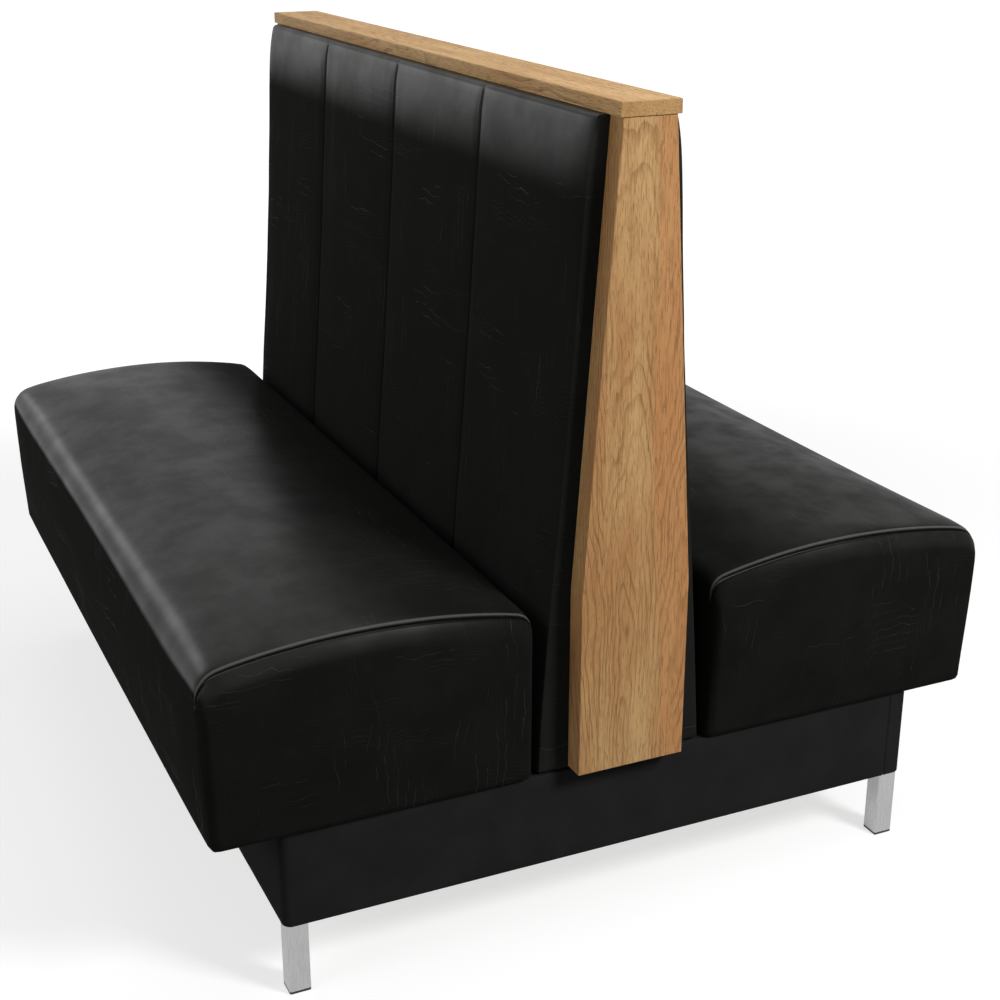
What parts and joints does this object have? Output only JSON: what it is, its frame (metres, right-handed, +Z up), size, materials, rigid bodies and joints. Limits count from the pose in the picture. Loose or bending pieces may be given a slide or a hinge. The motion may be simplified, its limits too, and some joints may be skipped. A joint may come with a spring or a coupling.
{
  "type": "restaurant booth seating",
  "caption": "Back-to-back restaurant booth: two black vinyl bench seats share one channelled back with light wood ends and cap, on a wrapped base with square metal legs.",
  "frame": {"origin": "middle of the overall box, at floor level", "axes": "+X along the benches towards the right end panel, +Y across them towards the far seat, +Z up"},
  "size_m": [1.254, 1.0944, 1.067],
  "materials": {
    "seat_vinyl": "satin",
    "base_vinyl": "matte",
    "light_wood": "satin",
    "frame_wood": "matte",
    "plywood": "matte",
    "beech": "matte",
    "foam": "matte",
    "wadding": "matte",
    "webbing": "matte",
    "dust_cloth": "matte",
    "satin_chrome": "satin",
    "zinc_steel": "satin",
    "black_plastic": "matte"
  },
  "bodies": {
    "root": {"back_bottom_rail": "frame_wood", "back_cover_far": "seat_vinyl", "back_cover_near": "seat_vinyl", "back_end_rib_left": "frame_wood", "back_end_rib_right": "frame_wood", "back_foam_far": "foam", "back_foam_near": "foam", "back_inner_ribs": "frame_wood", "back_lower_board_far": "plywood", "back_lower_board_near": "plywood", "back_rail_screws": "zinc_steel", "back_top_rail": "frame_wood", "back_upper_board_far": "plywood", "back_upper_board_near": "plywood", "base_corner_post_far_left": "frame_wood", "base_corner_post_far_right": "frame_wood", "base_corner_post_near_left": "frame_wood", "base_corner_post_near_right": "frame_wood", "base_cover": "base_vinyl", "base_cross_rail_left": "frame_wood", "base_cross_rail_right": "frame_wood", "base_deck": "plywood", "base_dowels": "beech", "base_end_rail_left": "frame_wood", "base_end_rail_right": "frame_wood", "base_side_rail_far": "frame_wood", "base_side_rail_near": "frame_wood", "cap_screws": "zinc_steel", "end_panel_left": "light_wood", "end_panel_right": "light_wood", "foot_cap_far_left": "black_plastic", "foot_cap_far_right": "black_plastic", "foot_cap_near_left": "black_plastic", "foot_cap_near_right": "black_plastic", "frame_screws": "zinc_steel", "leg_far_left": "satin_chrome", "leg_far_right": "satin_chrome", "leg_insert_nuts": "zinc_steel", "leg_near_left": "satin_chrome", "leg_near_right": "satin_chrome", "seat_back_rail_far": "frame_wood", "seat_back_rail_near": "frame_wood", "seat_braces_far": "frame_wood", "seat_braces_near": "frame_wood", "seat_cover_far": "seat_vinyl", "seat_cover_near": "seat_vinyl", "seat_dust_cover_far": "dust_cloth", "seat_dust_cover_near": "dust_cloth", "seat_end_rails_far": "frame_wood", "seat_end_rails_near": "frame_wood", "seat_foam_far": "foam", "seat_foam_near": "foam", "seat_front_rail_far": "frame_wood", "seat_front_rail_near": "frame_wood", "seat_wadding_far": "wadding", "seat_wadding_near": "wadding", "seat_webbing_far": "webbing", "seat_webbing_near": "webbing", "top_cap": "light_wood"}
  },
  "joints": []
}
